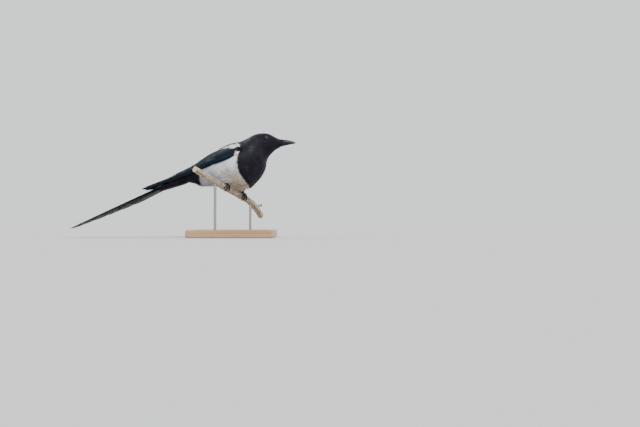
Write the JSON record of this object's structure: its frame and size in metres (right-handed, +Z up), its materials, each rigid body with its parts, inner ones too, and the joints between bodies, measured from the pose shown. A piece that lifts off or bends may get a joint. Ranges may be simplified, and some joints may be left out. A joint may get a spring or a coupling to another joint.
{
  "type": "eurasian magpie, life-size still model on a perch and display stand",
  "caption": "Life-size still model of a black and white magpie with a long graduated tail, gripping a cut branch held on a flat display stand.",
  "frame": {"origin": "centre of the stand base's flat underside", "axes": "+X is the way the bird faces, its right side is at -Y, and +Z is up"},
  "size_m": [0.4062, 0.1607, 0.1875],
  "materials": {
    "black_plumage": "glossy black feathers with a slight violet sheen",
    "white_plumage": "soft matte white feathers",
    "wing_plumage": "glossy black flight feathers with a blue-green sheen",
    "tail_plumage": "glossy black tail feathers with a green and bronze sheen",
    "bill_horn": "black horn, softly polished",
    "eye": "wet dark brown",
    "foot_scale": "black scaled skin",
    "bark": "grey-tan bark",
    "base_wood": "satin oak",
    "rod_metal": "brushed"
  },
  "bodies": {
    "root": {"head": "black_plumage", "neck": "black_plumage", "breast": "black_plumage", "torso": "white_plumage", "rump": "black_plumage", "tail": "tail_plumage", "wing_left": "wing_plumage", "wing_right": "wing_plumage", "scapulars_left": "white_plumage", "scapulars_right": "white_plumage", "upper_bill": "bill_horn", "lower_bill": "bill_horn", "eye_left": "eye", "eye_right": "eye", "leg_left": "white_plumage", "leg_right": "white_plumage", "foot_left": "foot_scale", "foot_right": "foot_scale", "perch": "bark", "stand_base": "base_wood", "stand_rod_left": "rod_metal", "stand_rod_right": "rod_metal"}
  },
  "joints": []
}
